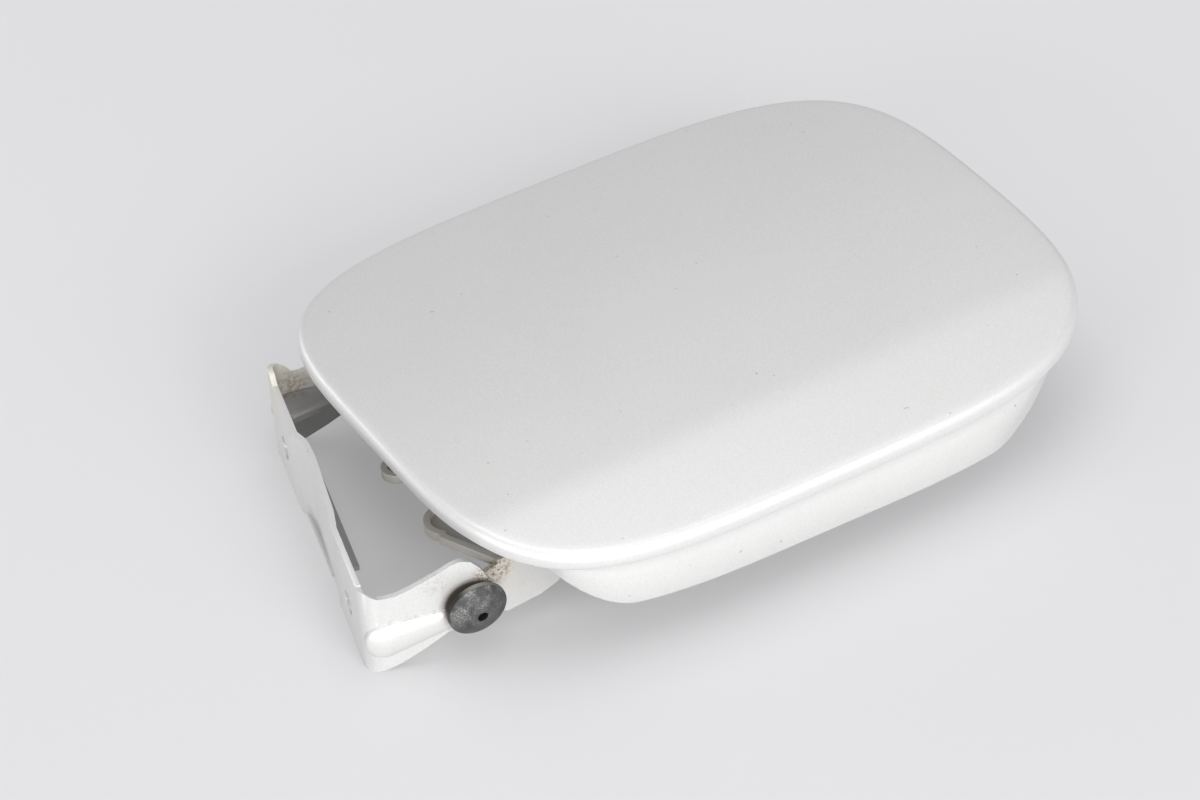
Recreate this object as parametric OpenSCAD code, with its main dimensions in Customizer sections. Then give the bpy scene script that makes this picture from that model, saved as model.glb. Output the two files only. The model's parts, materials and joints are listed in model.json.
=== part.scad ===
// Car fuel door: a crowned steel panel with a deep skirt on one long side,
// carried by a folded leaf on a single pivot pin in a U-shaped body bracket.
//
// Part frame: the origin lies on the bracket plate's outer face, midway between
// its two screw holes. +X runs from the plate to the door, +Y along the plate
// to its far end, +Z up through the door's outer face.
// Door frame: the origin lies on the pin axis, on the near arm's outer face.
// X runs along the door's length, Y along the pin, Z up.

/* [Door panel] */
// Length of the door, along its long sides
panel_l = 190; // [170:1:210]
// Width of the door, along its short sides
panel_w = 148.5; // [135:0.5:165]
// Squareness of the outline: 2 is an ellipse, higher is squarer
outline_power = 3.86; // [3:0.02:5]
// Drop of the outer face from its middle to a long side
crown_w = 4.6; // [2:0.1:7]
// Drop of the outer face from its middle to a short side
crown_l = 0.5; // [0:0.1:2]
// Distance of the crease from the door's long centre line
crease_y = 46; // [40:1:56]
// Extra slope of the face beyond the crease, in degrees
crease_fall = 5.7; // [0:0.1:9]
// Width over which the crease is rounded
crease_soft = 8; // [4:1:14]
// Height of the turned-down rim
rim_h = 4.5; // [4:0.1:7]
// Radius of the edge between face and rim
edge_r = 2.2; // [1.2:0.1:3]
// Thickness of the outer sheet
skin_t = 0.8; // [0.7:0.05:1]
// Width of the hem folded in under the rim
hem_w = 3; // [2.4:0.1:3.2]
// Gap left by the hem around the inner panel
hem_gap = 0.1; // [0.05:0.05:0.2]

/* [Inner panel] */
// Thickness of the inner sheet
inner_t = 0.8; // [0.7:0.05:1]
// Depth of the flat field below the door's highest point
field_drop = 9; // [8.8:0.1:11]
// Width of the ledge and slope between the rim and the flat field
ledge_w = 8; // [7:0.5:10]
// Height of the pressed middle above the flat field
press_h = 3; // [1.5:0.5:3]
// Size of the pressed middle, as a share of the flat field
press_size = 0.46; // [0.4:0.01:0.5]

/* [Skirt] */
// Thickness of the skirt's sheet
skirt_t = 0.8; // [0.7:0.05:1]
// Depth of the skirt below the face at its hinge end
skirt_d1 = 21.8; // [14:0.2:23]
// Depth of the skirt below the face at its free end
skirt_d2 = 24.4; // [14:0.2:26]
// Start of the skirt, from the door's middle towards the hinge
skirt_from = 82; // [76:1:84]
// End of the skirt, from the door's middle towards the free end
skirt_to = 81; // [70:1:83]
// Length of the slanted end at the hinge
skirt_ramp1 = 24; // [18:1:30]
// Length of the slanted end at the free side
skirt_ramp2 = 29; // [18:1:34]
// Distance of the skirt's wall in from the rim
skirt_in = 4.2; // [3.8:0.1:5]
// Width of the flange turned in along the skirt's lower edge
skirt_flange = 5; // [3:0.5:8]

/* [Hinge] */
// Turn of the door about the upright, from square to the bracket, in degrees
door_turn = 13.75; // [8:0.25:16]
// Distance of the pin axis from the bracket plate's outer face
pivot_x = 28.5; // [28:0.1:30]
// Height of the pin axis above the screw holes
pivot_up = 4.4; // [3:0.1:5]
// Depth of the pin axis below the door's highest point
pivot_drop = 26; // [25:0.5:29]
// Distance of the door's middle from the pin, along the door
door_ahead = 92.4; // [91:0.2:95]
// Distance of the door's middle from the near arm, along the pin
door_aside = 45.3; // [42:0.5:48]
// Diameter of the pivot pin
pin_d = 6; // [5:0.1:6.4]
// Running clearance of the pin, on its radius
pin_play = 0.05; // [0.02:0.01:0.08]
// Diameter of the pin's cap
cap_d = 16; // [15:0.1:18]
// Height of the cap's straight wall
cap_wall = 1.5; // [1.2:0.1:3.2]
// Height of the cap's domed face
cap_dome = 3; // [1.5:0.1:3.5]
// Diameter of the hole in the middle of the cap
cap_hole = 2.7; // [1.5:0.1:4]
// Tilt of the worn cap from the pin axis, in degrees
cap_tilt = 4; // [2:0.5:8]
// Lean of the worn cap, its top edge outward, in degrees
cap_lean = 6.5; // [0:0.5:8]

/* [Body bracket] */
// Length of the bracket plate
bracket_l = 98; // [92:1:106]
// Thickness of the bracket's sheet
bracket_t = 1.5; // [1.2:0.1:1.6]
// Height of the plate above the pin axis
plate_up = 10.6; // [10:0.1:11]
// Depth of the plate below the pin axis
plate_down = 15.6; // [15:0.1:17]
// Outer radius of the bends between plate and arms
bend_r = 4; // [3:0.1:5]
// Length of the stepped-in middle of the plate
step_l = 34; // [26:1:40]
// Depth of the step at its far end
step_far = 2; // [1.4:0.1:3]
// Depth of the step at its near end
step_near = 1; // [0.5:0.1:2]
// Height of the rounded crest at the plate's far corner, above the plate
crest_up = 2.2; // [0:0.1:3]
// Length of the arms from the plate's outer face
arm_l = 40; // [37:1:44]
// Distance between the two screw holes
screw_pitch = 66; // [60:1:72]
// Diameter of the screw holes
screw_d = 6.6; // [5.5:0.1:7]
// Diameter of the empty eye in the far arm
eye_d = 8.4; // [6.4:0.1:9]
// Length of the foot flange folded in under the plate
foot_l = 40; // [30:1:44]
// Reach of the foot flange from the plate's outer face
foot_w = 8.2; // [7:0.2:10]
// Distance of the foot flange from the plate's far end
foot_in = 18; // [8:1:22]
// Height of the beads pressed outward in the arms
bead_h = 2; // [1.2:0.1:2.4]
// Rise of the far arm's bead above the near arm's
bead_lift = 2.4; // [0:0.1:3]

/* [Hinge leaf] */
// Thickness of the leaf's sheet
leaf_t = 1.5; // [1.2:0.1:1.6]
// Gap along the pin from the near arm's outer face to the leaf
leaf_off = 4.5; // [4.3:0.1:5]
// Width of the leaf along the pin
leaf_w = 81; // [70:1:82]
// Length of the leaf from the pin to its end under the door
leaf_l = 50; // [46:0.5:51]
// Height of the leaf's front web above the pin axis
web_up = 2.7; // [2.2:0.1:4]
// Height of the lip round the web's front edge
lip_up = 1.1; // [0.6:0.1:1.5]
// Distance of the large lobe from the near arm, along the pin
lobe_1 = 26; // [22:0.5:30]
// Distance of the small lobe from the near arm, along the pin
lobe_2 = 52; // [44:0.5:58]
// Diameter of the leaf's rivets
rivet_d = 4; // [3:0.1:5]
// Diameter of the rivet heads
rivet_head = 7.5; // [6:0.1:8]

/* [Underside fittings] */
// Distance of the latch striker from the door's middle
striker_x = 70; // [60:1:74]
// Width of the latch striker
striker_w = 18; // [14:1:24]
// Thickness of the latch striker's sheet
striker_t = 2; // [1.5:0.1:2.5]
// Side of the square catch window in the striker
catch_s = 8; // [6:0.5:9]
// Diameter of the rubber bump stops
stop_d = 12; // [9:0.5:14]
// Height of the rubber bump stops
stop_h = 8; // [5:0.5:10]
// Distance of each bump stop from the door's long centre line
stop_y = 36; // [28:1:42]
// Distance of the bump stops from the door's middle
stop_x = 72; // [66:1:74]
// Length of the filler cap holder
holder_l = 30; // [26:1:34]
// Width of the filler cap holder
holder_w = 26; // [22:1:30]
// Thickness of the holder's plastic
holder_t = 2.4; // [2:0.1:3]
// Drop of the holder's fork below its base
holder_drop = 12; // [9:0.5:14]
// Width of the fork's slot
fork_slot = 9; // [6:0.5:11]

/* [Hidden] */
$fn = 48;
eps = 0.01;

half_l = panel_l / 2;
half_w = panel_w / 2;
rim_steps = 108;
skirt_steps = 52;
paint = [0.82, 0.82, 0.83];
primer = [0.70, 0.70, 0.71];
black = [0.20, 0.20, 0.21];
zinc = [0.62, 0.62, 0.60];

// Heights in the door frame, above the pin axis
crown_z = pivot_drop;
field_z = crown_z - field_drop;
press_z = field_z + press_h;
floor_z = -plate_down;

// Places along the pin, from the near arm's outer face
bush_flange_t = 1.3;
bush_flange_d = 10.8;
bush_wall = 1.2;
bush_d = pin_d + 2 * (pin_play + bush_wall);
bush_lip = 1.2;
clip_gap = 0.3;
clip_t = 0.8;
clip_d = 13;
pin_tail = 1.2;
bush_from = leaf_off - bush_flange_t;
bush_to = leaf_off + leaf_t + bush_lip;
clip_from = bush_to + clip_gap;
pin_to = clip_from + clip_t + pin_tail;
cap_slope = acos(cos(door_turn - cap_tilt) * cos(cap_lean));
cap_back = -cap_d / 2 * tan(cap_slope);

// Moves door-frame shapes to their place in the part frame
module in_door() {
    translate([pivot_x, -bracket_l / 2, pivot_up]) rotate([0, 0, door_turn]) children();
}

// Moves shapes drawn about the door's middle into the door frame
module about_middle() {
    translate([door_ahead, door_aside, 0]) children();
}

// Outline of the door about its middle, and its outward direction
function outline_r(t) = pow(pow(abs(cos(t)) / half_l, outline_power)
    + pow(abs(sin(t)) / half_w, outline_power), -1 / outline_power);
function outline(t) = outline_r(t) * [cos(t), sin(t)];
function near_side(x) = [x, -half_w * pow(1 - pow(abs(x) / half_l, outline_power), 1 / outline_power)];
function outward(p) = let (g = [sign(p.x) * pow(abs(p.x) / half_l, outline_power - 1) / half_l,
    sign(p.y) * pow(abs(p.y) / half_w, outline_power - 1) / half_w]) g / norm(g);
function inset(p, d) = p - d * outward(p);

// Height of the crowned face below the door's highest point
function past_crease(y) = let (d = -crease_y - y, s = crease_soft / 2)
    d < -s ? 0 : d > s ? d : (d + s) * (d + s) / (4 * s);
function face(p) = -crown_l * pow(p.x / half_l, 2) - crown_w * pow(p.y / half_w, 2)
    - tan(crease_fall) * past_crease(p.y);

// One ring of points round the door: d in from the rim, z below the face
function rim_ring(d, z) = [for (i = [0 : rim_steps - 1])
    let (p = inset(outline(i * 360 / rim_steps), d)) [p.x, p.y, crown_z + face(p) + z]];
// One ring inside the ledge, as a share of it, z below the face
function face_ring(share, z) = [for (i = [0 : rim_steps - 1])
    let (p = share * inset(outline(i * 360 / rim_steps), ledge_w)) [p.x, p.y, crown_z + face(p) + z]];
// One level ring inside the ledge, as a share of it, at height z
function flat_ring(share, z) = [for (i = [0 : rim_steps - 1])
    let (p = share * inset(outline(i * 360 / rim_steps), ledge_w)) [p.x, p.y, z]];

// Closed solid from a top point, rings in order and an underside point
module ring_solid(top, rings, under) {
    n = len(rings[0]);
    last = 1 + n * len(rings);
    points = concat([top], [for (r = rings) each r], [under]);
    caps = [for (i = [0 : n - 1]) each [
        [0, 1 + (i + 1) % n, 1 + i],
        [last, last - n + i, last - n + (i + 1) % n]]];
    bands = [for (k = [0 : len(rings) - 2], i = [0 : n - 1])
        let (a = 1 + k * n + i, b = 1 + k * n + (i + 1) % n) each [[a, b, b + n], [a, b + n, a + n]]];
    polyhedron(points, concat(caps, bands));
}

// Closed solid swept through sections of equal length
module section_solid(sections) {
    n = len(sections[0]);
    m = len(sections);
    points = [for (s = sections) each s];
    walls = [for (k = [0 : m - 2], i = [0 : n - 1])
        let (a = k * n + i, b = k * n + (i + 1) % n) each [[a, a + n, b + n], [a, b + n, b]]];
    ends = [[for (i = [0 : n - 1]) i], [for (i = [n - 1 : -1 : 0]) (m - 1) * n + i]];
    polyhedron(points, concat(walls, ends));
}

// Outer sheet: crowned face, rounded edge, rim and the hem under it
module outer_skin() {
    shares = [0.3, 0.52, 0.68, 0.8, 0.9, 1];
    arc = [for (a = [0 : 22.5 : 90]) [edge_r * (1 - sin(a)), -edge_r * (1 - cos(a))]];
    inner_r = edge_r - skin_t;
    inner_arc = [for (a = [90 : -30 : 0])
        [edge_r - inner_r * sin(a), -edge_r + inner_r * cos(a)]];
    color(paint) in_door() about_middle() ring_solid(
        [0, 0, crown_z],
        concat(
            [for (s = shares) face_ring(s, 0)],
            [for (c = arc) rim_ring(c[0], c[1])],
            [rim_ring(0, -rim_h), rim_ring(hem_w, -rim_h),
                rim_ring(hem_w, -rim_h + skin_t), rim_ring(skin_t, -rim_h + skin_t)],
            [for (c = inner_arc) rim_ring(c[0], c[1])],
            [for (k = [len(shares) - 1 : -1 : 0]) face_ring(shares[k], -skin_t)]),
        [0, 0, crown_z - skin_t]);
}

// Inner sheet: edge held in the hem, ledge, flat field and pressed middle
module inner_panel() {
    under = -rim_h + skin_t + hem_gap;
    edge_in = skin_t + hem_gap + 0.2;
    ledge_to = ledge_w - 3;
    color(primer) in_door() difference() {
        about_middle() ring_solid(
            [0, 0, press_z + inner_t],
            [flat_ring(press_size - 0.05, press_z + inner_t), flat_ring(press_size, field_z + inner_t),
                flat_ring(0.98, field_z + inner_t), rim_ring(ledge_to + 0.4, under + inner_t),
                rim_ring(edge_in, under + inner_t), rim_ring(edge_in, under),
                rim_ring(ledge_to, under), flat_ring(0.97, field_z),
                flat_ring(press_size + 0.01, field_z), flat_ring(press_size - 0.04, press_z)],
            [0, 0, press_z]);
        for (p = leaf_rivet_places) rivet_hole(p, field_z);
        for (p = striker_rivet_places) rivet_hole(p, field_z);
        for (p = holder_pin_places) rivet_hole(p, press_z);
        for (s = [-1, 1]) rivet_hole([door_ahead + stop_x, door_aside + s * stop_y], field_z);
    }
}

module rivet_hole(p, z) {
    translate([p.x, p.y, z - 5]) cylinder(d = rivet_d + 0.2, h = 10);
}

// Depth of the skirt below the face, along the door
skirt_shallow = rim_h + 2.2;
function skirt_depth(x) = let (
    share = (x + skirt_from) / (skirt_from + skirt_to),
    flat = skirt_d1 + (skirt_d2 - skirt_d1) * share,
    r1 = min(1, (x + skirt_from) / skirt_ramp1),
    r2 = min(1, (skirt_to - x) / skirt_ramp2),
    rise = min(1 - pow(1 - r1, 1.8), 1 - pow(1 - r2, 1.35)))
    skirt_shallow + (flat - skirt_shallow) * rise;

// Cross-section of the skirt at one place along the door
function skirt_section(x) = let (
    p = near_side(x),
    d = skirt_depth(x),
    top = -rim_h - hem_gap,
    drop = -d - top,
    t = skirt_t,
    line = [[0.8, top - t], [2.2, top - t + 0.04 * drop], [3, top - t + 0.12 * drop],
        [skirt_in - 0.5, top + 0.35 * drop], [skirt_in, -d + 0.8], [skirt_in + 0.6, -d],
        [skirt_in + skirt_flange, -d], [skirt_in + skirt_flange, -d + t],
        [skirt_in + 0.6 + t, -d + t], [skirt_in + t, -d + 1.4],
        [skirt_in - 0.5 + t, top + 0.35 * drop], [3 + t, top - t + 0.16 * drop + 0.1],
        [2.4 + t, top], [0.8, top]])
    [for (c = line) let (q = inset(p, c[0])) [q.x, q.y, crown_z + face(inset(p, 1)) + c[1]]];

// Deep skirt under the near rim, with a cove at its top and a flange below
module side_skirt() {
    span = skirt_from + skirt_to;
    color(paint) in_door() about_middle() section_solid(
        [for (k = [0 : skirt_steps]) skirt_section(-skirt_from + span * k / skirt_steps)]);
}

// Drops of anti-flutter mastic between the two sheets
module flutter_pads() {
    pad_d = 10;
    pad_x = 40;
    slack = 0.5;
    for (k = [-1, 0, 1], s = [-1, 1]) {
        p = [k * pad_x, s * stop_y];
        z0 = field_z + inner_t;
        h = crown_z + face(p) - skin_t - slack - z0;
        color(black) in_door() about_middle() translate([p.x, p.y, z0]) cylinder(d = pad_d, h = h);
    }
}

// Hinge leaf
leaf_top = field_z;
leaf_rivet_places = [for (x = [leaf_l - 18, leaf_l - 6], y = [0.16, 0.84]) [x, leaf_off + y * leaf_w]];

// Bent strip seen along the pin: web, rise and pad
module leaf_strip() {
    rise = 6;
    pad_from = leaf_l - 28;
    polygon([[-4, web_up], [pad_from - rise + 1, web_up], [pad_from + 1, leaf_top - leaf_t],
        [leaf_l, leaf_top - leaf_t], [leaf_l, leaf_top], [pad_from, leaf_top],
        [pad_from - rise, web_up + leaf_t], [-4, web_up + leaf_t]]);
}

// Plan of the strip, with the two rounded lobes on its front edge
module leaf_plan() {
    far = leaf_off + leaf_w;
    polygon([[10.4, leaf_off], [2.6, lobe_1 - 5], [9, lobe_1 + 7], [9.5, lobe_2 - 4], [10, lobe_2 + 10],
        [14, far], [leaf_l, far], [leaf_l, leaf_off]]);
    translate([8, lobe_1]) circle(r = 6.4);
    translate([7.4, lobe_2]) circle(r = 4.2);
}

// Lip that follows the web's front edge
module leaf_lip() {
    lip_w = 1.8;
    reach = 16;
    translate([0, 0, web_up + leaf_t - eps]) linear_extrude(lip_up) intersection() {
        difference() {
            leaf_plan();
            offset(delta = -lip_w) leaf_plan();
        }
        square([reach, leaf_off + leaf_w - leaf_t]);
    }
}

// Side cheek seen along the pin, from the eye to the pad
module leaf_cheek(eye_r) {
    circle(r = eye_r);
    polygon([[-1.5, -eye_r + 0.2], [12, -12.4], [21.6, -11.6], [27, -9.8], [leaf_l, leaf_top - 4],
        [leaf_l, leaf_top], [leaf_l - 28, leaf_top], [leaf_l - 34, web_up + leaf_t],
        [11, web_up + leaf_t], [6, 3], [0, eye_r - 0.2]]);
}

module hinge_leaf() {
    eye_r = 6.8;
    far = leaf_off + leaf_w;
    color(paint) in_door() difference() {
        union() {
            intersection() {
                translate([0, far, 0]) rotate([90, 0, 0]) linear_extrude(leaf_w) leaf_strip();
                linear_extrude(leaf_top + 1) leaf_plan();
            }
            leaf_lip();
            translate([0, leaf_off + leaf_t, 0]) rotate([90, 0, 0]) linear_extrude(leaf_t) leaf_cheek(eye_r);
            translate([0, far, 0]) rotate([90, 0, 0]) linear_extrude(leaf_t)
                polygon([[17, web_up], [20, web_up - 5], [leaf_l, leaf_top - 5], [leaf_l, leaf_top],
                    [leaf_l - 28, leaf_top], [leaf_l - 34, web_up + leaf_t]]);
        }
        rotate([-90, 0, 0]) cylinder(d = bush_d + 0.1, h = leaf_off + leaf_t + 1);
        for (p = leaf_rivet_places) rivet_hole(p, leaf_top);
    }
}

// Rivet through a lower sheet and the inner panel at height z
module rivet(p, z, sheet) {
    head_h = 1.6;
    tail_h = 1.2;
    translate([p.x, p.y, z - sheet - head_h]) {
        cylinder(d1 = rivet_head - 1.6, d2 = rivet_head, h = head_h);
        cylinder(d = rivet_d, h = head_h + sheet + inner_t + eps);
        translate([0, 0, head_h + sheet + inner_t]) cylinder(d1 = rivet_head - 1, d2 = rivet_head - 2.4, h = tail_h);
    }
}

module leaf_rivets() {
    color(zinc) in_door() for (p = leaf_rivet_places) rivet(p, leaf_top, leaf_t);
}

// Side view of an arm: a dip by the plate, a hump over the pin and a lower edge that rises
module arm_side() {
    polygon([[0, plate_up], [1.4, plate_up - 0.3], [2.8, plate_up - 1.4], [4.4, plate_up - 2.5],
        [6.4, 7.7], [9, 7.7], [13, 8.8], [21, 11.8], [23.8, 13.2], [26.4, 13.7], [29, 12.8], [31.2, 10.2],
        [33, 6.4], [35.4, 2], [36, -1.5], [34.6, -4.8], [31, -6.8], [22, -7.8], [15, -11.6],
        [8.3, -14.6], [4.5, -15.5], [0, -plate_down]]);
}

// Plan of the folded U: stepped plate, rounded bends and two arms
module bracket_plan() {
    h = bracket_l / 2;
    s = step_l / 2;
    t = bracket_t;
    polygon([[0, -h + bend_r], [0, -s - 3.6], [0.25 * step_near, -s - 2.6], [step_near, -s + 3],
        [0.9 * step_far, 0], [step_far, s - 9], [0.9 * step_far, s - 4], [0.75 * step_far, s - 1.6],
        [0.25 * step_far, s + 1], [0, s + 2.4], [0, h - bend_r],
        [t, h - bend_r], [t, s + 2.8], [0.25 * step_far + t, s + 1.5], [0.75 * step_far + t, s - 1],
        [0.9 * step_far + t, s - 3.4], [step_far + t, s - 8.6], [0.9 * step_far + t, 0],
        [step_near + t, -s + 2.8], [0.25 * step_near + t, -s - 2.8], [t, -s - 3.8],
        [t, -h + bend_r]]);
    for (m = [0, 1]) mirror([0, m, 0]) {
        translate([bend_r, -h + bend_r]) intersection() {
            difference() {
                circle(r = bend_r);
                circle(r = bend_r - t);
            }
            translate([-bend_r, -bend_r]) square(bend_r);
        }
        translate([bend_r, -h]) square([arm_l - bend_r, t]);
    }
}

// Tapered bead pressed outward in an arm: level on top, wide at the corner, narrow at the pin
module arm_bead(lift) {
    wide_r = 5.5;
    narrow_r = 3.4;
    sunk = 0.2 * bead_h;
    flatten = (bead_h + sunk) / wide_r;
    hull() {
        translate([wide_r + 0.1, sunk, -wide_r - 0.2 + lift]) scale([1, flatten, 1]) sphere(r = wide_r, $fn = 28);
        translate([21.3, 0.6 * sunk, -narrow_r - 0.3 + lift]) scale([1, flatten, 1]) sphere(r = narrow_r, $fn = 28);
    }
}

// One arm's bead in the bracket's frame, d deeper than the arm's outer face
module placed_bead(m, d) {
    mirror([0, m, 0]) translate([0, -bracket_l / 2 + d, pivot_up]) arm_bead(m * bead_lift);
}

// Rounded block inside the folded sheet, d in from its outer face
module bracket_inside(d) {
    h = bracket_l / 2;
    r = bend_r - d;
    for (m = [0, 1]) mirror([0, m, 0]) {
        translate([bend_r, -h + bend_r]) circle(r = r);
        translate([bend_r, -h + d]) square([arm_l, h]);
        translate([d, -h + bend_r]) square([arm_l, h]);
    }
}

module body_bracket() {
    h = bracket_l / 2;
    low = pivot_up - plate_down;
    tall = plate_up + plate_down;
    past = 5 * bracket_t;
    crest_r = 6.5;
    color(paint) difference() {
        union() {
            difference() {
                union() {
                    intersection() {
                        translate([0, 0, low - 1]) linear_extrude(tall + 6) bracket_plan();
                        translate([0, h + past, pivot_up]) rotate([90, 0, 0]) linear_extrude(bracket_l + 2 * past) {
                            arm_side();
                            translate([-1, -plate_down]) square([bend_r + 0.3, tall - 3]);
                        }
                    }
                    intersection() {
                        translate([0, 0, low + 1]) linear_extrude(tall - 1) bracket_plan();
                        translate([-1, -h + bend_r, low]) cube([bend_r + 2, bracket_l - 2 * bend_r, 2 * tall]);
                    }
                    intersection() {
                        translate([0, 0, low + 1]) linear_extrude(tall + 6) bracket_plan();
                        translate([0.9, h - 3.5, pivot_up + plate_up + crest_up - crest_r]) sphere(r = crest_r);
                    }
                    for (m = [0, 1]) difference() {
                        placed_bead(m, 0);
                        translate([0, 0, low]) linear_extrude(tall) bracket_inside(bracket_t / 2);
                    }
                }
                for (m = [0, 1]) intersection() {
                    placed_bead(m, bracket_t);
                    translate([bracket_t, -h - past, low]) cube([arm_l, bracket_l + 2 * past, 2 * tall]);
                }
            }
            translate([bracket_t / 2, h - foot_in - foot_l, low]) cube([foot_w - bracket_t / 2, foot_l, bracket_t]);
        }
        for (y = [-1, 1]) translate([-bracket_t, y * screw_pitch / 2, 0]) rotate([0, 90, 0])
            cylinder(d = screw_d, h = 4 * bracket_t);
        in_door() translate([0, -4 * bracket_t, 0]) rotate([-90, 0, 0])
            cylinder(d = pin_d + 2 * pin_play, h = 8 * bracket_t);
        translate([pivot_x, h - 3 * bracket_t, pivot_up]) rotate([-90, 0, 0]) cylinder(d = eye_d, h = past);
    }
}

// Steel pin with a low head under the cap and a chamfered tail
pin_head_d = 9;
pin_head_t = 1;
module pivot_pin() {
    head_at = -pin_head_d / 2 * tan(door_turn) - pin_head_t;
    chamfer = 0.8;
    color(zinc) in_door() rotate([-90, 0, 0]) {
        translate([0, 0, head_at]) cylinder(d = pin_head_d, h = pin_head_t);
        translate([0, 0, head_at]) cylinder(d = pin_d, h = pin_to - chamfer - head_at);
        translate([0, 0, pin_to - chamfer - eps]) cylinder(d1 = pin_d, d2 = pin_d - 2 * chamfer, h = chamfer);
    }
}

// Worn plastic cap over the pin's head, with a hole in its domed face
module pivot_cap() {
    r = cap_d / 2;
    ball = (r * r + cap_dome * cap_dome) / (2 * cap_dome);
    seat_d = pin_head_d + 1.2;
    seat_h = 1.7;
    color(black) in_door() rotate([cap_lean, 0, -cap_tilt]) translate([0, cap_back, 0]) rotate([90, 0, 0])
    difference() {
        union() {
            cylinder(r = r, h = cap_wall);
            intersection() {
                translate([0, 0, cap_wall + cap_dome - ball]) sphere(r = ball);
                translate([0, 0, cap_wall - eps]) cylinder(r = r, h = cap_dome + 1);
            }
        }
        translate([0, 0, -1]) cylinder(d = seat_d, h = seat_h + 1);
        cylinder(d = cap_hole, h = cap_wall + cap_dome + 1);
    }
}

// Plastic bush in the leaf's eye
module pivot_bush() {
    color(black) in_door() rotate([-90, 0, 0]) difference() {
        union() {
            translate([0, 0, bush_from]) cylinder(d = bush_flange_d, h = bush_flange_t);
            translate([0, 0, bush_from]) cylinder(d = bush_d, h = bush_to - bush_from);
        }
        translate([0, 0, bush_from - 1]) cylinder(d = pin_d + 2 * pin_play, h = bush_to - bush_from + 2);
    }
}

// Push-on spring clip behind the leaf, with teeth that grip the pin
module pin_clip() {
    teeth = 6;
    slot_w = 1.2;
    color(zinc) in_door() rotate([-90, 0, 0]) translate([0, 0, clip_from]) difference() {
        cylinder(d = clip_d, h = clip_t);
        translate([0, 0, -1]) cylinder(d = pin_d, h = clip_t + 2);
        for (k = [0 : teeth - 1]) rotate([0, 0, k * 360 / teeth])
            translate([pin_d / 2 - 0.5, -slot_w / 2, -1]) cube([2, slot_w, clip_t + 2]);
    }
}

// Latch striker: base under the inner panel, tongue with a catch window
striker_at = door_ahead + striker_x;
striker_base = 22;
striker_rivet_places = [for (s = [-1, 1])
    [striker_at - striker_base / 2 - 2, door_aside + s * striker_w / 4]];

module latch_striker() {
    tip_r = 4;
    window_z = floor_z + 6;
    top = field_z;
    color(zinc) in_door() difference() {
        union() {
            translate([striker_at - striker_base, door_aside - striker_w / 2, top - striker_t])
                cube([striker_base, striker_w, striker_t]);
            translate([striker_at - striker_t, door_aside, 0]) rotate([90, 0, 90]) linear_extrude(striker_t) {
                translate([-striker_w / 2, floor_z + tip_r]) square([striker_w, top - floor_z - tip_r]);
                translate([-striker_w / 2 + tip_r, floor_z]) square([striker_w - 2 * tip_r, tip_r + 1]);
                for (s = [-1, 1]) translate([s * (striker_w / 2 - tip_r), floor_z + tip_r]) circle(r = tip_r);
            }
            for (s = [-1, 1]) translate([striker_at - striker_t, door_aside + s * (striker_w / 2 - striker_t / 2), 0])
                rotate([90, 0, 0]) linear_extrude(striker_t, center = true)
                    polygon([[eps, top - striker_t + eps], [-9, top - striker_t + eps], [eps, top - 16]]);
        }
        translate([striker_at - 5, door_aside - catch_s / 2, window_z]) cube([10, catch_s, catch_s]);
        for (p = striker_rivet_places) rivet_hole(p, top);
    }
}

module striker_rivets() {
    color(zinc) in_door() for (p = striker_rivet_places) rivet(p, field_z, striker_t);
}

// Rubber stop: stem through the inner panel, collar and tapered foot
module bump_stop(side) {
    stem_h = 1.6;
    tip_d = stop_d - 4;
    in_door() about_middle() translate([stop_x, side * stop_y, field_z]) {
        translate([0, 0, -2]) cylinder(d = stop_d, h = 2);
        translate([0, 0, -stop_h]) cylinder(d1 = tip_d, d2 = stop_d - 1.5, h = stop_h - 2 + eps);
        cylinder(d = rivet_d, h = inner_t + eps);
        translate([0, 0, inner_t]) cylinder(d1 = rivet_d + 2, d2 = rivet_d, h = stem_h);
    }
}

module near_bump_stop() {
    color(black) bump_stop(-1);
}

module far_bump_stop() {
    color(black) bump_stop(1);
}

// Filler cap holder: base, back wall and a forked shelf that hangs below
holder_at = door_ahead - holder_l / 2;
holder_pin_in = holder_l * 0.23;
holder_pin_places = [for (x = [holder_pin_in, holder_l - holder_pin_in]) [holder_at + x, door_aside]];

module cap_holder() {
    w = holder_w / 2;
    shelf_z = press_z - holder_drop - holder_t;
    slot_end = 9;
    round_r = 4;
    color(black) in_door() translate([holder_at, door_aside, 0]) difference() {
        union() {
            translate([0, -w, press_z - holder_t]) cube([holder_l, holder_w, holder_t]);
            translate([0, -w, shelf_z]) cube([holder_t, holder_w, holder_drop + eps]);
            translate([0, 0, shelf_z]) linear_extrude(holder_t) {
                translate([0, -w]) square([holder_l - round_r, holder_w]);
                translate([0, -w + round_r]) square([holder_l, holder_w - 2 * round_r]);
                for (s = [-1, 1]) translate([holder_l - round_r, s * (w - round_r)]) circle(r = round_r);
            }
        }
        translate([slot_end + fork_slot / 2, 0, shelf_z - 1]) {
            cylinder(d = fork_slot, h = holder_t + 2);
            translate([0, -fork_slot / 2, 0]) cube([holder_l, fork_slot, holder_t + 2]);
        }
        for (x = [holder_pin_in, holder_l - holder_pin_in]) translate([x, 0, press_z - holder_t - 1])
            cylinder(d = rivet_d + 0.1, h = holder_t + 2);
    }
}

module holder_pins() {
    color(black) in_door() for (p = holder_pin_places) rivet(p, press_z, holder_t);
}

outer_skin();
inner_panel();
side_skirt();
flutter_pads();
hinge_leaf();
leaf_rivets();
body_bracket();
pivot_pin();
pivot_cap();
pivot_bush();
pin_clip();
latch_striker();
striker_rivets();
near_bump_stop();
far_bump_stop();
cap_holder();
holder_pins();
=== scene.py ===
import json
import math

import bmesh
import bpy
from mathutils import Matrix, Quaternion, Vector


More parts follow.
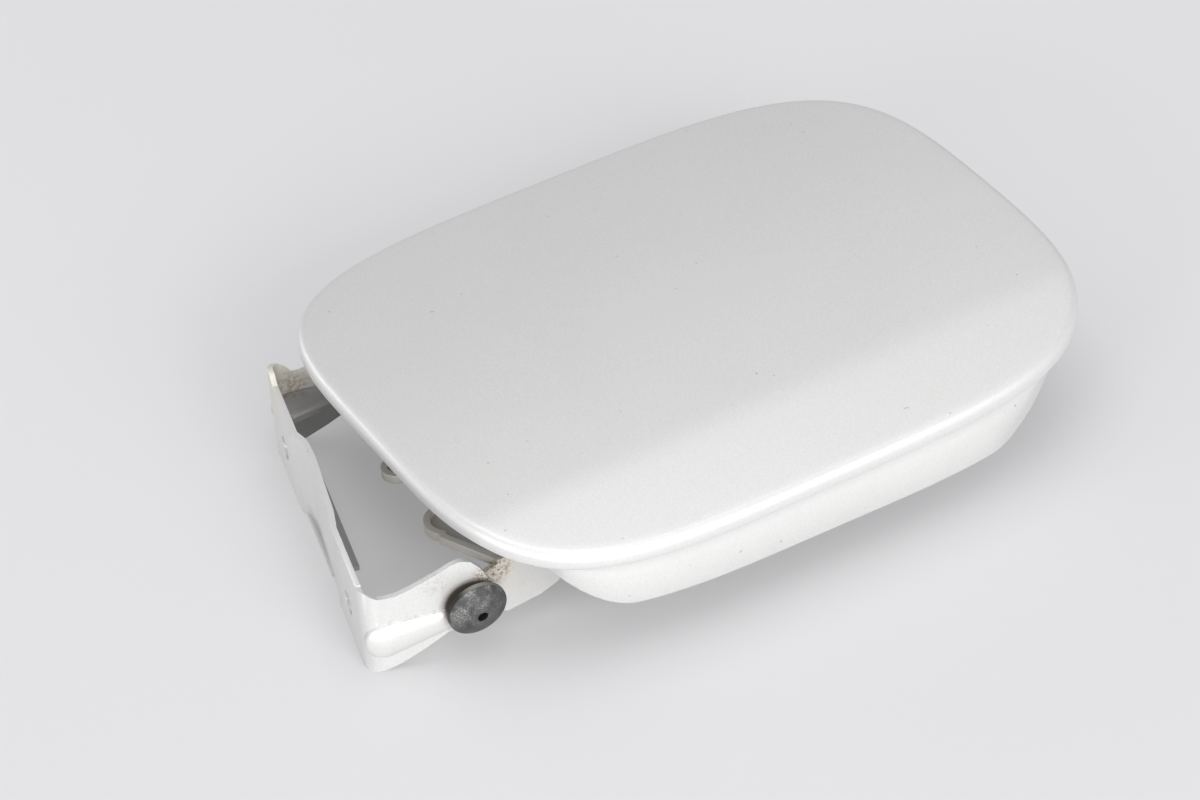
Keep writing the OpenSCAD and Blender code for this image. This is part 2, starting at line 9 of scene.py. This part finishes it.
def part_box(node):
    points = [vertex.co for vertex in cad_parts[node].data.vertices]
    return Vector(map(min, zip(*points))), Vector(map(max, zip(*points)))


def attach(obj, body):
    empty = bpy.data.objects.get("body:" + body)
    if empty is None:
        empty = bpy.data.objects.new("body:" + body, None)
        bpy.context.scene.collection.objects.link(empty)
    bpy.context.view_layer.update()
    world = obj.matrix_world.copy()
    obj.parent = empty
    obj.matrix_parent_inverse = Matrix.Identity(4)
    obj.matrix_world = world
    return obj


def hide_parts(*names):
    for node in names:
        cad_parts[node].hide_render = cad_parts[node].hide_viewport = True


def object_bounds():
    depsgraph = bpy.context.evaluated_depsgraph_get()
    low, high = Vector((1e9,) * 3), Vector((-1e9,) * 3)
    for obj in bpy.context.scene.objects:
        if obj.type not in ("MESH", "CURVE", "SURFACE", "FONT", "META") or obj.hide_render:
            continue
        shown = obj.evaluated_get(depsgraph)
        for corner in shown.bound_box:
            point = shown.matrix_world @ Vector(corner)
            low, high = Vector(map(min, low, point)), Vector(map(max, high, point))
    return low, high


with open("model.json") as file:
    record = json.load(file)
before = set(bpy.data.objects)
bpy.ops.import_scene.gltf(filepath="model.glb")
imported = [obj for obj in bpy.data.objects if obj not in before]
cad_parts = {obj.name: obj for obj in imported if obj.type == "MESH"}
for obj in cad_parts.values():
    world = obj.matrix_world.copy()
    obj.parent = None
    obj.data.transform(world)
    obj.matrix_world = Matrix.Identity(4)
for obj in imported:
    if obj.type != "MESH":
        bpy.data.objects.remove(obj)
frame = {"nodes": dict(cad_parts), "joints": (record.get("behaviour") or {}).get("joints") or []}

cad_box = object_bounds()
nodes = frame["nodes"]

# Camera: a long lens off the near corner and well above the bench, as in the photograph.
# Place, lens and roll come from fitting the door's outline, so the door fills the same frame.
bpy.context.scene.view_settings.view_transform = "Standard"
camera_at = Vector((-0.13895, -0.83959, 0.70976))
camera_aim = Vector((0.0740, -0.0154, 0.0304))
camera_lens, film_width = 128.5, 36
camera_roll = math.radians(-4.47)
sight_end = 20
camera_data = bpy.data.cameras.new("photo_camera")
camera_data.lens = camera_lens
camera_data.sensor_width = film_width
camera_data.clip_end = sight_end
camera = bpy.data.objects.new("photo_camera", camera_data)
bpy.context.scene.collection.objects.link(camera)
look = (camera_aim - camera_at).to_track_quat("-Z", "Y")
camera.rotation_mode = "QUATERNION"
camera.rotation_quaternion = look @ Quaternion((0, 0, 1), camera_roll)
camera.location = camera_at
bpy.context.scene.camera = camera

# Bench: a flat sheet of pale grey card. The door lies on it as on a table, standing on the foot of
# the bracket's plate and on the striker's tip. A share of the card's tone is a glow that only the
# camera, mirrors and glass see, so it is pale without putting more light on the door.
bench_top = cad_box[0][2]
bench_size = 6.0
bench_middle_x = 0.1
card_grey, card_dull, card_shine = (0.585, 0.585, 0.592), 0.85, 0.2
glow_grey, glow_share = (0.77, 0.77, 0.78), 0.3
bench_mesh = bmesh.new()
bmesh.ops.create_grid(bench_mesh, x_segments=1, y_segments=1, size=bench_size / 2)
bmesh.ops.translate(bench_mesh, verts=bench_mesh.verts, vec=(bench_middle_x, 0, bench_top))
bench_data = bpy.data.meshes.new("bench_card")
bench_mesh.to_mesh(bench_data)
bench_mesh.free()
bench = bpy.data.objects.new("bench_card", bench_data)
bpy.context.scene.collection.objects.link(bench)
card = bpy.data.materials.new("pale_card")
card.use_nodes = True
card_nodes = card.node_tree.nodes
card_shader = card_nodes["Principled BSDF"]
card_shader.inputs["Base Color"].default_value = (*card_grey, 1)
card_shader.inputs["Roughness"].default_value = card_dull
card_shader.inputs["Specular IOR Level"].default_value = card_shine
card_glow = card_nodes.new("ShaderNodeEmission")
card_glow.inputs["Color"].default_value = (*glow_grey, 1)
ray = card_nodes.new("ShaderNodeLightPath").outputs
either, any_ray, seen = [card_nodes.new("ShaderNodeMath") for _ in range(3)]
either.operation = any_ray.operation = "MAXIMUM"
seen.operation = "MULTIPLY"
seen.inputs[1].default_value = glow_share
card_mix = card_nodes.new("ShaderNodeMixShader")
for start, end in ((ray["Is Camera Ray"], either.inputs[0]),
                   (ray["Is Glossy Ray"], either.inputs[1]),
                   (either.outputs["Value"], any_ray.inputs[0]),
                   (ray["Is Transmission Ray"], any_ray.inputs[1]),
                   (any_ray.outputs["Value"], seen.inputs[0]),
                   (seen.outputs["Value"], card_mix.inputs["Fac"]),
                   (card_shader.outputs["BSDF"], card_mix.inputs[1]),
                   (card_glow.outputs["Emission"], card_mix.inputs[2]),
                   (card_mix.outputs["Shader"], card_nodes["Material Output"].inputs["Surface"])):
    card.node_tree.links.new(start, end)
bench.data.materials.append(card)


# Lamps: wide soft boxes low and high in front and to the left carry the light, and weak ones fill
# in from the right, overhead and behind, in a pale room. The skirt, the bracket's near corner and
# the face past the crease come out brightest.
def soft_box(name, place, size, watts):
    lamp = bpy.data.lights.new(name, "AREA")
    lamp.shape = "RECTANGLE"
    lamp.size, lamp.size_y = size
    lamp.energy = watts
    holder = bpy.data.objects.new(name, lamp)
    bpy.context.scene.collection.objects.link(holder)
    holder.location = place
    holder.rotation_mode = "QUATERNION"
    holder.rotation_quaternion = (door_middle - Vector(place)).to_track_quat("-Z", "Y")


door_middle = Vector((0.107, 0.017, 0.028))
soft_box("low_front_box", (0.1, -3.0, 0.32), (2.4, 0.6), 62)
soft_box("high_front_box", (0.9, -2.8, 1.55), (1.6, 1.2), 47)
soft_box("front_right_box", (2.6, -2.6, 1.3), (1.6, 1.4), 5)
soft_box("front_left_box", (-2.7, -1.9, 0.95), (1.6, 1.2), 43)
soft_box("overhead_box", (0.1, 0.05, 1.7), (1.4, 1.4), 11)
soft_box("back_left_box", (-1.8, 2.0, 0.7), (1.6, 0.8), 12)
room_tone, room_strength = (0.98, 0.98, 1.0), 0.62
room = bpy.data.worlds.new("pale_room")
bpy.context.scene.world = room
room.use_nodes = True
room.node_tree.nodes["Background"].inputs["Color"].default_value = (*room_tone, 1)
room.node_tree.nodes["Background"].inputs["Strength"].default_value = room_strength


# Outer skin: pressed sheet steel, crowned both ways and creased along its near side, with a rolled
# edge, a short rim and a hem folded inward. It was sprayed with silver metallic paint, whose flakes
# sparkle finely under a clear coat, and has since caught dust and a few specks of dirt.
def join(tree, start, end):
    tree.links.new(start, end)


def noise(tree, place, grain, detail=3.0, broken=0.5):
    node = tree.nodes.new("ShaderNodeTexNoise")
    node.inputs["Scale"].default_value = grain
    node.inputs["Detail"].default_value = detail
    node.inputs["Roughness"].default_value = broken
    join(tree, place, node.inputs["Vector"])
    return node.outputs["Fac"]


def fade(tree, value, low, high, out_low=0.0, out_high=1.0):
    node = tree.nodes.new("ShaderNodeMapRange")
    node.interpolation_type = "SMOOTHSTEP"
    join(tree, value, node.inputs["Value"])
    for name, number in (("From Min", low), ("From Max", high), ("To Min", out_low), ("To Max", out_high)):
        node.inputs[name].default_value = number
    return node.outputs["Result"]


def sums(tree, how, first, second):
    node = tree.nodes.new("ShaderNodeMath")
    node.operation = how
    node.use_clamp = how != "SUBTRACT"
    for socket, value in zip(node.inputs, (first, second)):
        if isinstance(value, (int, float)):
            socket.default_value = value
        else:
            join(tree, value, socket)
    return node.outputs["Value"]


def tint(tree, share, under, over):
    node = tree.nodes.new("ShaderNodeMix")
    node.data_type = "RGBA"
    join(tree, share, node.inputs["Factor"])
    for socket, value in ((node.inputs["A"], under), (node.inputs["B"], over)):
        if isinstance(value, tuple):
            socket.default_value = (*value, 1)
        else:
            join(tree, value, socket)
    return node.outputs["Result"]


def bumped(tree, shader, height, depth, strength):
    node = tree.nodes.new("ShaderNodeBump")
    node.inputs["Distance"].default_value = depth
    node.inputs["Strength"].default_value = strength
    join(tree, height, node.inputs["Height"])
    join(tree, node.outputs["Normal"], shader.inputs["Normal"])


def blank(name):
    material = bpy.data.materials.new(name)
    material.use_nodes = True
    tree = material.node_tree
    place = tree.nodes.new("ShaderNodeTexCoord").outputs["Object"]
    return material, tree, tree.nodes["Principled BSDF"], place


# Brown for dirt specks, and for painted shade round the pivot and along the near bead.
dirt_and_shade_brown = (0.17, 0.125, 0.085)
dust_beige = (0.50, 0.46, 0.39)
noise_low, noise_high = 0.3, 0.7
flake_grain, flake_sparkle = 2600, 0.04
soil_grain, soil_from, soil_full = 90, 0.5, 0.75
speck_grain, speck_from, speck_full, speck_strength = 700, 0.87, 0.89, 0.4
spray_grain, spray_shinier, spray_duller = 18, 0.03, 0.04
peel_grain, peel_depth, peel_strength = 1400, 0.00002, 0.25
clear_coat, clear_coat_dull = 0.22, 0.24
blotchy = 5.0, 0.65
stain_from, stain_full, stain_dull = 0.44, 0.62, 0.85


def silver_paint(name, colour, metal, dull, dust=0.05, stains_and_shade=()):
    material, tree, shader, place = blank(name)
    flake = fade(tree, noise(tree, place, flake_grain, detail=1.0), noise_low, noise_high)
    dark_flake = tuple(c * (1 - flake_sparkle) for c in colour)
    light_flake = tuple(c * (1 + flake_sparkle) for c in colour)
    tone = tint(tree, flake, dark_flake, light_flake)
    soil = fade(tree, noise(tree, place, soil_grain, *blotchy), soil_from, soil_full)
    tone = tint(tree, sums(tree, "MULTIPLY", soil, dust), tone, dust_beige)
    speck = fade(tree, noise(tree, place, speck_grain, detail=0.0), speck_from, speck_full)
    tone = tint(tree, sums(tree, "MULTIPLY", speck, speck_strength), tone, dirt_and_shade_brown)
    rough = fade(tree, noise(tree, place, spray_grain), noise_low, noise_high,
                 dull - spray_shinier, dull + spray_duller)
    # Each mark tints the tone: real stains, and on the bracket also painted shade.
    for mask, hue, grain, strength in stains_and_shade:
        share = sums(tree, "MULTIPLY", mask(tree, place), strength)
        if grain:
            blots = fade(tree, noise(tree, place, grain, *blotchy), stain_from, stain_full)
            share = sums(tree, "MULTIPLY", share, blots)
        tone = tint(tree, share, tone, hue)
        rough = sums(tree, "MAXIMUM", rough, sums(tree, "MULTIPLY", share, stain_dull))
    join(tree, tone, shader.inputs["Base Color"])
    join(tree, rough, shader.inputs["Roughness"])
    shader.inputs["Metallic"].default_value = metal
    shader.inputs["Coat Weight"].default_value = clear_coat
    shader.inputs["Coat Roughness"].default_value = clear_coat_dull
    bumped(tree, shader, noise(tree, place, peel_grain, detail=2.0), peel_depth, peel_strength)
    return material


door_silver = silver_paint("door_silver", (0.582, 0.580, 0.575), metal=0.4, dull=0.42)

hinge = frame["joints"][0]
pivot = Vector(hinge["pos_m"])
turn = math.atan2(hinge["axis"][0], -hinge["axis"][1])
middle_from_pivot = Vector((0.0924, 0.0453, 0.026))
half_l, half_w = 0.095, 0.07425
squareness = 3.86
crown_w, crown_l = 0.0046, 0.0005
crease_y, crease_fall, crease_soft = 0.046, math.tan(math.radians(5.7)), 0.008
sheet, edge_r, rim_h, hem_w = 0.0008, 0.0022, 0.0045, 0.003
fold_r, fold_mid = 0.0004, 0.0001
roll_steps = 6
skin_columns = 96
tiny, hair = 1e-6, 1e-7


def crown(x, y):
    past = -crease_y - y
    if abs(past) < crease_soft / 2:
        past = (past + crease_soft / 2) ** 2 / (2 * crease_soft)
    return -crown_l * (x / half_l) ** 2 - crown_w * (y / half_w) ** 2 - crease_fall * max(0, past)


def outline(angle, inset=0.0):
    c, d = math.cos(angle), math.sin(angle)
    r = ((abs(c) / half_l) ** squareness + (abs(d) / half_w) ** squareness) ** (-1 / squareness)
    x, y = r * c, r * d
    out = Vector((math.copysign((abs(x) / half_l) ** (squareness - 1) / half_l, x),
                  math.copysign((abs(y) / half_w) ** (squareness - 1) / half_w, y))).normalized()
    return Vector((x, y)) - inset * out


def into_scene(made, name, body, material, stands_for, smooth):
    bmesh.ops.recalc_face_normals(made, faces=made.faces)
    mesh = bpy.data.meshes.new(name)
    made.to_mesh(mesh)
    made.free()
    mesh.shade_smooth()
    mesh.set_sharp_from_angle(angle=math.radians(smooth))
    mesh.materials.append(material)
    piece = bpy.data.objects.new(name, mesh)
    bpy.context.scene.collection.objects.link(piece)
    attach(piece, body)
    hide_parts(stands_for)
    return piece


skin = bmesh.new()
bmesh.ops.create_grid(skin, x_segments=skin_columns, y_segments=skin_columns, size=1)
for v in skin.verts:
    reach = max(abs(v.co.x), abs(v.co.y))
    x, y = 0, 0
    if reach > tiny:
        x, y = reach * outline(math.atan2(v.co.y * half_w, v.co.x * half_l), edge_r)
    v.co = (x, y, crown(x, y))
border = [e for e in skin.edges if e.is_boundary]
roll_angles = [math.radians(90 / roll_steps * k) for k in range(1, roll_steps + 1)]
rolled_edge = [(edge_r * (1 - math.sin(t)), -edge_r * (1 - math.cos(t))) for t in roll_angles]
folded_hem = [(0, fold_r - rim_h), (fold_mid, fold_mid - rim_h), (fold_r, -rim_h), (hem_w, -rim_h),
              (hem_w, sheet - rim_h), (sheet, sheet - rim_h), (sheet, -edge_r), (edge_r, -sheet)]
for inset, drop in rolled_edge + folded_hem:
    grown = bmesh.ops.extrude_edge_only(skin, edges=border)["geom"]
    border = [e for e in grown if isinstance(e, bmesh.types.BMEdge) and e.is_boundary]
    for v in {v for e in border for v in e.verts}:
        x, y = outline(math.atan2(v.co.y, v.co.x), inset)
        v.co = (x, y, crown(x, y) + drop)
top_faces = [f for f in skin.faces if all(v.co.z > crown(v.co.x, v.co.y) - hair for v in f.verts)]
for v in bmesh.ops.duplicate(skin, geom=top_faces)["geom"]:
    if isinstance(v, bmesh.types.BMVert):
        v.co.z -= sheet
bmesh.ops.remove_doubles(skin, verts=skin.verts, dist=tiny)
onto_hinge = Matrix.Translation(pivot) @ Matrix.Rotation(turn, 4, "Z")
bmesh.ops.transform(skin, matrix=onto_hinge @ Matrix.Translation(middle_from_pivot), verts=skin.verts)
into_scene(skin, "outer_skin_shown", "door", door_silver, "outer_skin", smooth=50)


# Inner panel: a thinner pressing with a raised middle, held all round in the outer skin's hem.
# It had only a light coat of the door's silver over its grey primer.
def softened(name, body, material, width=0.0, flat=2.0, smooth=35):
    made = bmesh.new()
    made.from_mesh(nodes[name].data)
    bmesh.ops.remove_doubles(made, verts=made.verts, dist=facet_gap)
    bmesh.ops.dissolve_limit(made, angle_limit=math.radians(flat), verts=made.verts, edges=made.edges)
    for face in made.faces:
        face.material_index = 0
    piece = into_scene(made, name + "_shown", body, material, name, smooth)
    if width:
        edge = piece.modifiers.new("worn_edge", "BEVEL")
        edge.width = width
        edge.segments = worn_steps
        edge.limit_method = "ANGLE"
        edge.angle_limit = math.radians(worn_from)
        edge.harden_normals = True
    return piece


facet_gap = 2e-6
worn_from, worn_steps = 40, 2
inner_silver = silver_paint("inner_silver", (0.44, 0.44, 0.45), metal=0.4, dull=0.5, dust=0.25)
panel = softened("inner_panel", "door", inner_silver, flat=0.05)
panel.modifiers.new("flat_middle", "WEIGHTED_NORMAL").keep_sharp = True

# Side skirt: a folded strip of the same steel, welded under the near rim and painted with the door.
# Its lower edge is turned in and has a soft radius.
# Its silver is painted a little paler than the door's, as painted light on the near face.
skirt_silver_lit = silver_paint("skirt_silver_lit", (0.61, 0.608, 0.60), metal=0.3, dull=0.42, dust=0.08)
softened("side_skirt", "door", skirt_silver_lit, flat=0.5, smooth=60)


# Body bracket: a folded U of sheet steel, painted with the car's body and screwed to it. Dirt specks lie
# round the pivot, and a painted shadow with some grime rings the cap, in a fainter brown halo of painted
# shade. A painted shade line with dirt runs along the top of the near bead, painted shade with some grime
# lies low inside the fold and on the plate's foot, rust has started by the pivot, and the far corner has
# yellowed under the door.
def round_spot(spot, reach, solid=0.35):
    def mask(tree, place):
        node = tree.nodes.new("ShaderNodeVectorMath")
        node.operation = "DISTANCE"
        join(tree, place, node.inputs[0])
        node.inputs[1].default_value = spot
        return fade(tree, node.outputs["Value"], reach * solid, reach, 1.0, 0.0)
    return mask


def box_spot(low, high, soft):
    def mask(tree, place):
        split = tree.nodes.new("ShaderNodeSeparateXYZ")
        join(tree, place, split.inputs[0])
        share = 1.0
        for axis in range(3):
            axis_place = split.outputs[axis]
            past_low = fade(tree, axis_place, low[axis] - soft, low[axis] + soft)
            before_high = fade(tree, axis_place, high[axis] - soft, high[axis] + soft, 1.0, 0.0)
            share = sums(tree, "MULTIPLY", sums(tree, "MULTIPLY", share, past_low), before_high)
        return share
    return mask


def from_pivot(ahead, up):
    return pivot + Vector((ahead, 0, up))


near_face, far_face = pivot.y, -pivot.y
plate_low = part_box("body_bracket")[0][2]
# Near black for painted shade with some grime, round the cap and low in the fold.
grime_and_shade_black = (0.045, 0.04, 0.035)
rust_brown = (0.24, 0.10, 0.035)
tan_rust = (0.23, 0.135, 0.06)
yellowed = (0.56, 0.53, 0.42)
fine_grain, speckled_grain, peppered_grain, dusty_grain, streaked_grain = 1100, 1400, 1700, 800, 700
# Masks of painted shade: along the near bead's top, low in the far fold and on the plate's foot.
bead_top_shade_line = box_spot((0.004, near_face - 0.004, pivot.z - 0.0006),
                    (0.020, near_face + 0.0002, pivot.z + 0.0003), 0.0005)
far_fold_shade = box_spot((0.0015, far_face - 0.0020, plate_low - 0.01),
                    (0.04, far_face - 0.0002, pivot.z + 0.0005), 0.0025)
plate_foot_shade = box_spot((0.0015, -0.02, plate_low - 0.01), (0.02, 0.035, plate_low + 0.004), 0.001)
bracket_dirt_and_shade = (
    # Painted shadow, with some grime, where the cap leans off the arm.
    (round_spot(from_pivot(0, -0.0008), 0.0078, 0.88), grime_and_shade_black, 0, 0.95),
    # A fainter brown halo of painted shade round the cap's painted shadow.
    (round_spot(from_pivot(0, -0.0005), 0.0094, 0.75), dirt_and_shade_brown, 0, 0.3),
    (round_spot(from_pivot(0.0038, 0.0066), 0.0050), tan_rust, fine_grain, 1.0),
    (round_spot(from_pivot(-0.0037, -0.0095), 0.0050), dirt_and_shade_brown, speckled_grain, 0.8),
    (round_spot(from_pivot(-0.0095, 0.0085), 0.0050), dirt_and_shade_brown, peppered_grain, 0.25),
    # Painted shade line, with dirt, along the top of the near bead.
    (bead_top_shade_line, dirt_and_shade_brown, streaked_grain, 0.35),
    (round_spot((0.003, far_face - 0.002, pivot.z + 0.008), 0.015), yellowed, 0, 0.55),
    (round_spot((0.006, far_face - 0.0015, pivot.z + 0.003), 0.008), rust_brown, dusty_grain, 0.55),
    # Painted shade, with some grime, low inside the far fold.
    (far_fold_shade, grime_and_shade_black, 0, 1.0),
    # Painted shade, with some grime, on the plate's foot flange.
    (plate_foot_shade, grime_and_shade_black, 0, 0.35))
bracket_silver = silver_paint("bracket_silver", (0.57, 0.567, 0.56), metal=0.35, dull=0.36, dust=0.08,
                              stains_and_shade=bracket_dirt_and_shade)
softened("body_bracket", "bracket", bracket_silver, width=0.00045)

# Hinge leaf: a pressed arm with an ear, a web with two rounded lobes and a pad riveted to the door.
# It got the same silver, now beige with road dust on the lobes and spotted with rust by the pivot.
leaf_turn = Matrix.Rotation(turn, 3, "Z")
lobes = pivot + leaf_turn @ Vector((0.004, 0.040, 0.004))
ear_spot = pivot + leaf_turn @ Vector((0.0095, 0.0022, 0.0025))
leaf_stains = ((round_spot(lobes, 0.042), dust_beige, 0, 0.5),
               (round_spot(ear_spot, 0.010), yellowed, 0, 0.35),
               (round_spot(ear_spot, 0.0066), tan_rust, fine_grain, 1.0))
leaf_silver = silver_paint("leaf_silver", (0.56, 0.557, 0.545), metal=0.3, dull=0.45, dust=0.2,
                           stains_and_shade=leaf_stains)
softened("hinge_leaf", "door", leaf_silver, width=0.0003)


# Pivot cap: a domed disc moulded in dark plastic, pushed over the pin's head and now leaning.
# Its face is chalky and finely pitted, with a painted sheen that lightens the chalk most on the upper
# left. Its wall is painted dark as shade, paler on its upper side as painted light, and its hole is
# painted black as shade.
def along(tree, place, direction):
    node = tree.nodes.new("ShaderNodeVectorMath")
    node.operation = "DOT_PRODUCT"
    join(tree, place, node.inputs[0])
    node.inputs[1].default_value = direction
    return sums(tree, "SUBTRACT", node.outputs["Value"], pivot.dot(direction))


def off_axis(tree, place, direction):
    arm = place
    for operation, value in (("SUBTRACT", pivot), ("CROSS_PRODUCT", direction), ("LENGTH", None)):
        node = tree.nodes.new("ShaderNodeVectorMath")
        node.operation = operation
        join(tree, arm, node.inputs[0])
        if value is not None:
            node.inputs[1].default_value = value
        arm = node.outputs["Value"] if operation == "LENGTH" else node.outputs["Vector"]
    return arm


cap_tilt, cap_lean = math.radians(4), math.radians(6.5)
cap_out = Matrix.Rotation(turn - cap_tilt, 3, "Z") @ Matrix.Rotation(cap_lean, 3, "X") @ Vector((0, -1, 0))
# Painted sheen: the face's chalk is lightened towards the upper left.
sheen_way = Vector((-0.45, 0, 0.9)).normalized()
# Painted light: the cap's wall is paler on its upper side.
wall_light_way = Vector((0.4, 0, 0.9)).normalized()
rim_from, rim_full = 0.0028, 0.0032
hole_full, hole_end = 0.0013, 0.0015
# The face's pale tone is chalk, lightened further where the painted sheen lies.
face_black, face_chalk_and_sheen = (0.038, 0.038, 0.039), (0.30, 0.295, 0.28)
# The wall's black is painted shade and its paler tone painted light on its top; the hole's black is
# painted shade.
wall_shade_black, wall_light_and_dust = (0.012, 0.011, 0.010), (0.20, 0.19, 0.17)
hole_shade_black = (0.004, 0.004, 0.004)
pit_grain, pit_broken, pit_from, pit_full = 3200, 0.7, 0.36, 0.74
pit_depth, pit_strength = 0.00005, 0.6
patch_grain, patch_from, patch_full = 320, 0.34, 0.66
sheen_from, sheen_full, chalk_outside_sheen = -0.005, 0.007, 0.3
wall_light_from, wall_light_full = 0.0035, 0.0075
bare_dull, chalk_dull, cap_shine = 0.5, 0.65, 0.3
cap_wear_and_shade, tree, shader, place = blank("cap_plastic")
face = fade(tree, along(tree, place, cap_out), rim_from, rim_full)
# Painted sheen weighting, strongest at the upper left of the face.
painted_sheen = fade(tree, along(tree, place, sheen_way), sheen_from, sheen_full)
pits = noise(tree, place, pit_grain, broken=pit_broken)
patch = fade(tree, noise(tree, place, patch_grain), patch_from, patch_full)
chalk_and_sheen = sums(tree, "MULTIPLY", fade(tree, pits, pit_from, pit_full), patch)
chalk_and_sheen = sums(tree, "MULTIPLY", chalk_and_sheen, fade(tree, painted_sheen, 0.0, 1.0, chalk_outside_sheen, 1.0))
face_tone_and_sheen = tint(tree, sums(tree, "MULTIPLY", chalk_and_sheen, face), face_black, face_chalk_and_sheen)
# The wall is painted dark as shade and paler on its upper side as painted light; the hole is painted black
# as shade.
wall_light = fade(tree, along(tree, place, wall_light_way), wall_light_from, wall_light_full)
cap_tone_and_shade = tint(tree, face, tint(tree, wall_light, wall_shade_black, wall_light_and_dust), face_tone_and_sheen)
hole_shade = fade(tree, off_axis(tree, place, cap_out), hole_full, hole_end, 1.0, 0.0)
join(tree, tint(tree, hole_shade, cap_tone_and_shade, hole_shade_black), shader.inputs["Base Color"])
join(tree, fade(tree, chalk_and_sheen, 0.0, 1.0, bare_dull, chalk_dull), shader.inputs["Roughness"])
shader.inputs["Specular IOR Level"].default_value = cap_shine
bumped(tree, shader, pits, pit_depth, pit_strength)
softened("pivot_cap", "bracket", cap_wear_and_shade, width=0.0003)


# Pivot bush: a flanged tube moulded in black plastic and pushed into the leaf's ear.
# The door turns with it on the steel pin.
def worn_black(name, colour, worn_colour, dull, mould_depth=0.00006):
    material, tree, shader, place = blank(name)
    wear = fade(tree, noise(tree, place, wear_grain, *crumbly), wear_from, wear_full)
    join(tree, tint(tree, wear, colour, worn_colour), shader.inputs["Base Color"])
    rough = fade(tree, noise(tree, place, handled_grain, detail=4.0), noise_low, noise_high,
                 dull - handled_shinier, dull + handled_duller)
    join(tree, rough, shader.inputs["Roughness"])
    bumped(tree, shader, noise(tree, place, mould_grain, detail=4.0), mould_depth, mould_strength)
    return material


crumbly = 6.0, 0.7
wear_grain, wear_from, wear_full = 300, 0.4, 0.7
handled_grain, handled_shinier, handled_duller = 120, 0.08, 0.1
mould_grain, mould_strength = 900, 0.6
bush_black = worn_black("bush_plastic", (0.03, 0.03, 0.03), (0.08, 0.075, 0.07), dull=0.5)
softened("pivot_bush", "door", bush_black, width=0.0002)


# Rivets: short steel rivets with a dull zinc coat, set cold. Four hold the leaf's pad to the inner
# panel and two the striker's foot, each with a head on both sides.
def plated_steel(name, colour, rust, dull):
    material, tree, shader, place = blank(name)
    spots = fade(tree, noise(tree, place, rust_grain, *crumbly), rust_from, rust_full)
    rusted = tint(tree, sums(tree, "MULTIPLY", spots, rust), colour, rust_brown)
    join(tree, rusted, shader.inputs["Base Color"])
    rough = fade(tree, noise(tree, place, plating_grain), noise_low, noise_high,
                 dull - plating_shinier, dull + plating_duller)
    join(tree, rough, shader.inputs["Roughness"])
    shader.inputs["Metallic"].default_value = bare_metal
    bumped(tree, shader, noise(tree, place, scale_grain), scale_depth, scale_strength)
    return material


bare_metal = 0.85
rust_grain, rust_from, rust_full = 260, 0.5, 0.72
plating_grain, plating_shinier, plating_duller = 500, 0.07, 0.12
scale_grain, scale_depth, scale_strength = 1200, 0.00003, 0.5
zinc = plated_steel("dull_zinc", (0.50, 0.49, 0.46), rust=0.35, dull=0.42)
softened("leaf_rivets", "door", zinc, width=0.0004)
softened("striker_rivets", "door", zinc, width=0.0004)

# Latch striker: a tongue folded from sheet steel, with two stiffening cheeks and a square window
# that the car's latch pin enters. It is zinc plated like the rivets that hold its foot.
softened("latch_striker", "door", zinc, width=0.0004)

# Pivot pin: a steel rod with a low head under the cap, pushed in through the near arm and the bush.
# It was left bare and has a light coat of rust.
rusty_steel = plated_steel("rusty_steel", (0.36, 0.34, 0.31), rust=0.7, dull=0.5)
softened("pivot_pin", "bracket", rusty_steel, width=0.0002)

# Pin clip: a push-on ring stamped from spring steel, as rusty as the pin.
# Its teeth grip the pin's tail behind the ear and keep the pin from working out.
softened("pin_clip", "bracket", rusty_steel, width=0.0001)

# Bump stops: two feet moulded in soft black rubber, which meet the car's body as the door closes.
# Each one's stem is pulled through a hole in the inner panel.
rubber = worn_black("stop_rubber", (0.018, 0.018, 0.019), (0.045, 0.044, 0.042), dull=0.75,
                    mould_depth=0.0001)
softened("near_bump_stop", "door", rubber, width=0.0006)
softened("far_bump_stop", "door", rubber, width=0.0006)

# Flutter pads: drops of soft black mastic between the two sheets, as matt as the rubber.
# They were laid on before the hem was folded, and keep the door from ringing when it shuts.
softened("flutter_pads", "door", rubber)

# Cap holder: a hook moulded in black plastic, with a base, a back wall and a forked shelf.
# The filler cap hangs by its neck in the fork while the tank is filled.
holder_black = worn_black("holder_plastic", (0.03, 0.03, 0.032), (0.07, 0.068, 0.065), dull=0.45)
softened("cap_holder", "door", holder_black, width=0.0004)

# Holder pins: two push pins moulded in the same black plastic.
# They hold the cap holder's base to the raised middle of the inner panel.
softened("holder_pins", "door", holder_black, width=0.0004)
